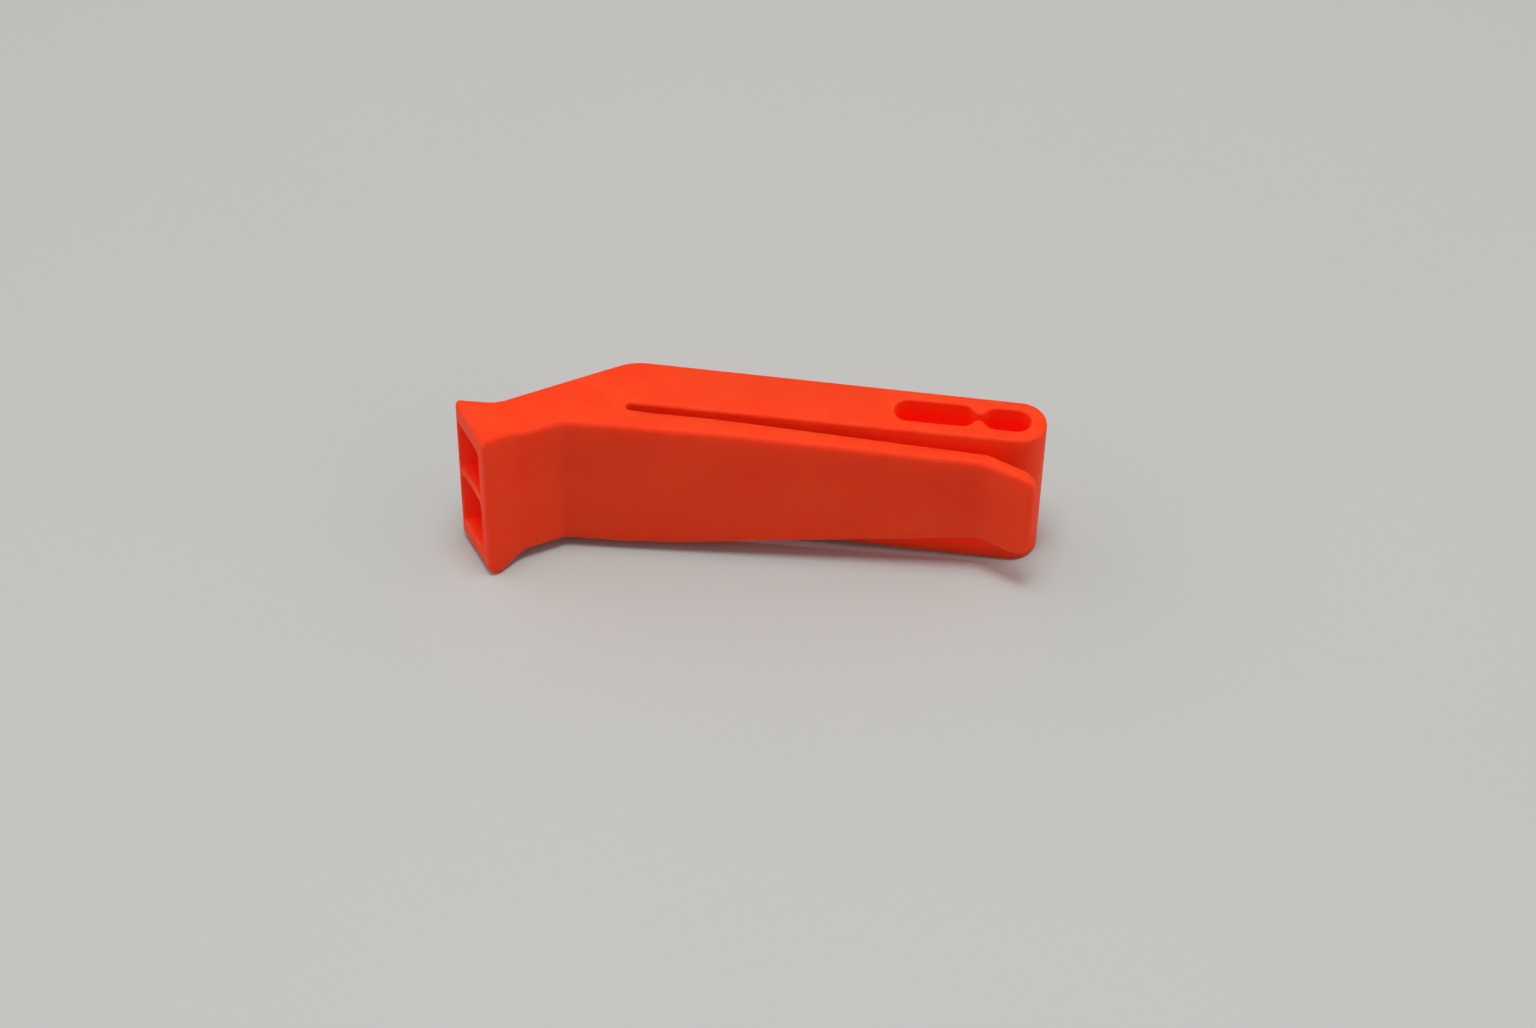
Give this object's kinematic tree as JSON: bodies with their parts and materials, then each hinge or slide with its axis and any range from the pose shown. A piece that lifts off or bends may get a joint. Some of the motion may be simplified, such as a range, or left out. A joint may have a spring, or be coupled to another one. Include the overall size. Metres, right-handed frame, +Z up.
{
  "type": "sports whistle",
  "caption": "Flat pealess whistle with a flared mouthpiece, an angled neck, a welded back cover, lanyard slots through the tail and a sprung belt clip.",
  "frame": {"origin": "centre of the lower face of the bounding box, with the whistle standing on its narrow side as pictured", "axes": "+X along the bar from the mouthpiece to the tail, +Y from the belt clip to the back cover, +Z up across the width"},
  "size_m": [0.0718, 0.0186, 0.0232],
  "materials": {
    "orange_plastic": "orange-red injection-moulded plastic, fine satin texture, slightly translucent"
  },
  "bodies": {
    "whistle": {"body": "orange_plastic", "back_cover": "orange_plastic"},
    "clip": {"belt_clip": "orange_plastic"}
  },
  "joints": [
    {"name": "belt_clip_flex", "type": "hinge", "parent": "whistle", "child": "clip", "pos_m": [-0.01409, -0.00084, 0.01158], "axis": [0, 0, -1], "range_deg": [0, 6], "stiffness_Nm_per_rad": 2}
  ]
}
